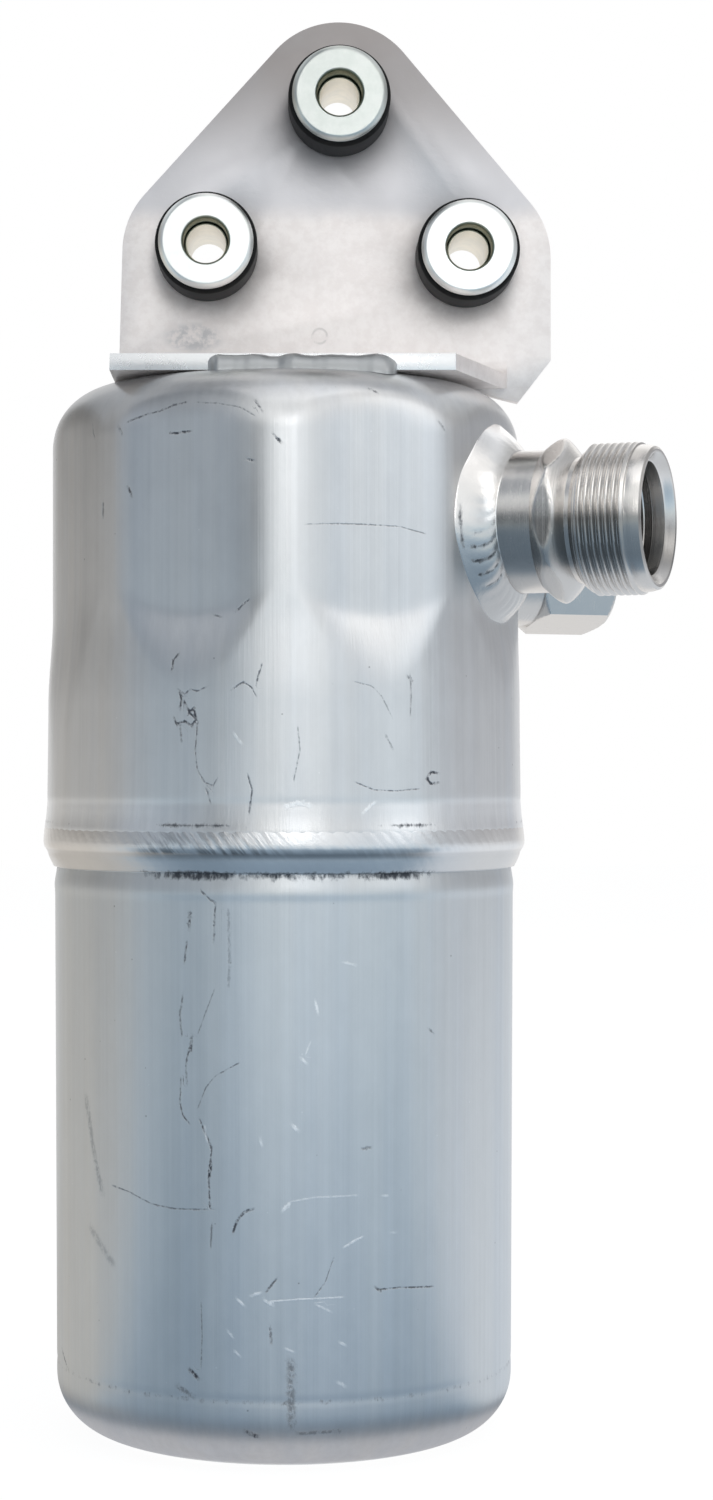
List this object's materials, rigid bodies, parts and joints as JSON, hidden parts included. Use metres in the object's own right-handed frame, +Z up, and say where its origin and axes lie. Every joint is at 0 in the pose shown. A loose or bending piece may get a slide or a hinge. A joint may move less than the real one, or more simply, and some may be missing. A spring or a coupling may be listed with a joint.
{
  "type": "suction line accumulator",
  "caption": "Welded aluminium accumulator can with pressed flats, a threaded outlet port, a hexagon inlet port and a rubber-bushed bracket on top.",
  "frame": {"origin": "centre of the can's flat base", "axes": "+Z up along the can's axis, -Y the side that the picture shows, +X towards the ports"},
  "size_m": [0.1187, 0.0918, 0.2669],
  "materials": {
    "drawn_aluminium": "drawn, satin, fine vertical marks and light scratches",
    "machined_aluminium": "turned, bright",
    "weld_aluminium": "rippled weld bead with soot in its edges",
    "bracket_aluminium": "rolled sheet, satin, slightly stained",
    "tube_aluminium": "drawn tube",
    "zinc_steel": "turned steel with a yellowish zinc plating",
    "black_rubber": "matte moulded rubber",
    "white_nylon": "natural moulded nylon",
    "filter_mesh": "fine woven mesh",
    "bag_felt": "needled polyester felt"
  },
  "bodies": {
    "root": {"lower_shell": "drawn_aluminium", "upper_shell": "drawn_aluminium", "girth_weld": "weld_aluminium", "outlet_fitting": "machined_aluminium", "outlet_weld": "weld_aluminium", "inlet_fitting": "machined_aluminium", "inlet_weld": "weld_aluminium", "mounting_bracket": "bracket_aluminium", "bracket_weld_front": "weld_aluminium", "bracket_weld_rear": "weld_aluminium", "grommet_left": "black_rubber", "grommet_top": "black_rubber", "grommet_right": "black_rubber", "front_sleeve_left": "zinc_steel", "front_sleeve_top": "zinc_steel", "front_sleeve_right": "zinc_steel", "rear_sleeve_left": "zinc_steel", "rear_sleeve_top": "zinc_steel", "rear_sleeve_right": "zinc_steel", "suction_tube": "tube_aluminium", "deflector": "white_nylon", "oil_filter_cage": "white_nylon", "oil_filter_screen": "filter_mesh", "desiccant_bag_front": "bag_felt", "desiccant_bag_rear": "bag_felt", "bag_strap_lower": "white_nylon", "bag_strap_upper": "white_nylon"}
  },
  "joints": []
}
